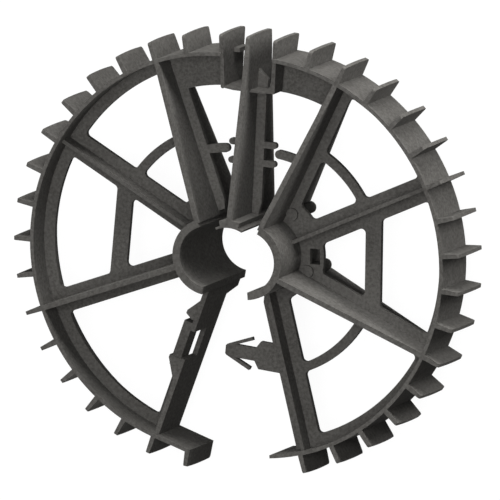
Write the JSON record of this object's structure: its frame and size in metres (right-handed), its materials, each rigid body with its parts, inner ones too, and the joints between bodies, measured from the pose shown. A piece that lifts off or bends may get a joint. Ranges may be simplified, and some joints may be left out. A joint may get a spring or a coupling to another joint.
{
  "type": "rebar wheel spacer",
  "caption": "Toothed plastic wheel spacer that hinges open, snaps shut around a reinforcing bar and keeps the concrete cover.",
  "frame": {"origin": "on the wheel's axis, at the lower end of the hub, where the part rests on a surface", "axes": "+Z along the wheel's axis, up from the lower hub end; +Y along the centre spoke towards the film hinges; +X towards the half with the arrow"},
  "size_m": [0.1972, 0.1808, 0.0456],
  "materials": {
    "moulded_plastic": "satin charcoal moulding"
  },
  "bodies": {
    "hinge_spoke": {"hinge_spoke": "moulded_plastic"},
    "left_half": {"left_half": "moulded_plastic"},
    "right_half": {"right_half": "moulded_plastic"}
  },
  "joints": [
    {"name": "left_film", "type": "hinge", "parent": "hinge_spoke", "child": "left_half", "pos_m": [-0.0063, 0.0676, 0.0228], "axis": [0, 0, -1], "range_deg": [-7.1, 8]},
    {"name": "right_film", "type": "hinge", "parent": "hinge_spoke", "child": "right_half", "pos_m": [0.0063, 0.0676, 0.0228], "axis": [0, 0, 1], "range_deg": [-6.6, 8]}
  ]
}
